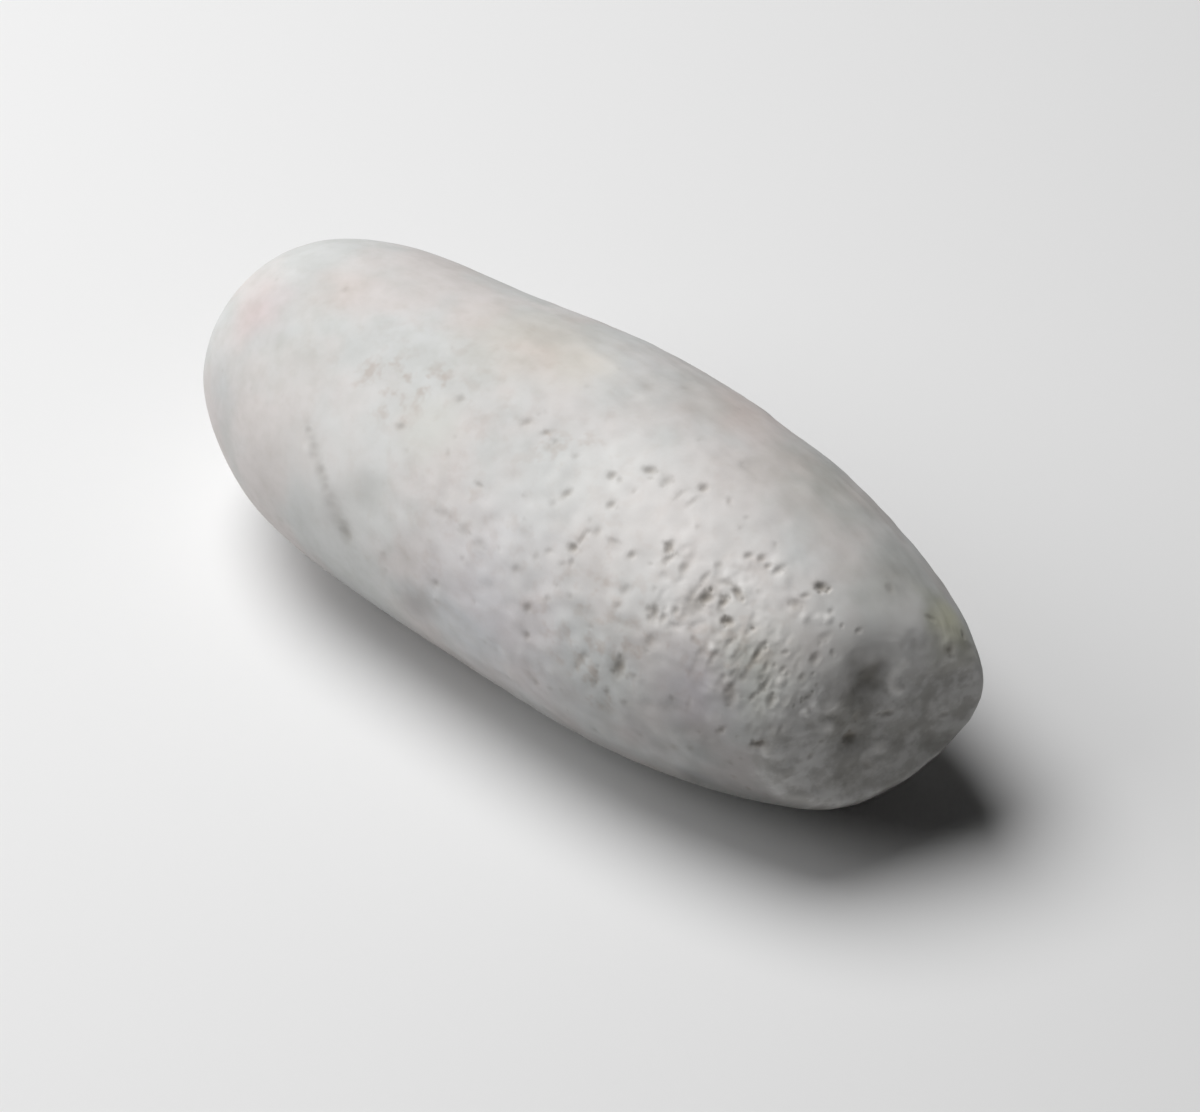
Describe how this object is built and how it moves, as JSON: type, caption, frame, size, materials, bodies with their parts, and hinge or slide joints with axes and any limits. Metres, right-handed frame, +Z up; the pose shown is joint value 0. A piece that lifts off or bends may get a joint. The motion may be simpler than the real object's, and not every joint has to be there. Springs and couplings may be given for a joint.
{
  "type": "chalk stone",
  "caption": "Lump of natural chalk worn to a blunt oval, with pits and dimples over one side, a flat worn end, and a flat belly that it rests on.",
  "frame": {"origin": "under the middle of the stone's outline, on the surface that it rests on", "axes": "+X along the stone towards its worn flat end, +Y to its hidden back, +Z up"},
  "size_m": [0.0812, 0.0342, 0.0308],
  "materials": {
    "chalk": "matt, powdery, white with grey-green and peach tints, greyer at the worn end"
  },
  "bodies": {
    "root": {"chalk_stone": "chalk"}
  },
  "joints": []
}
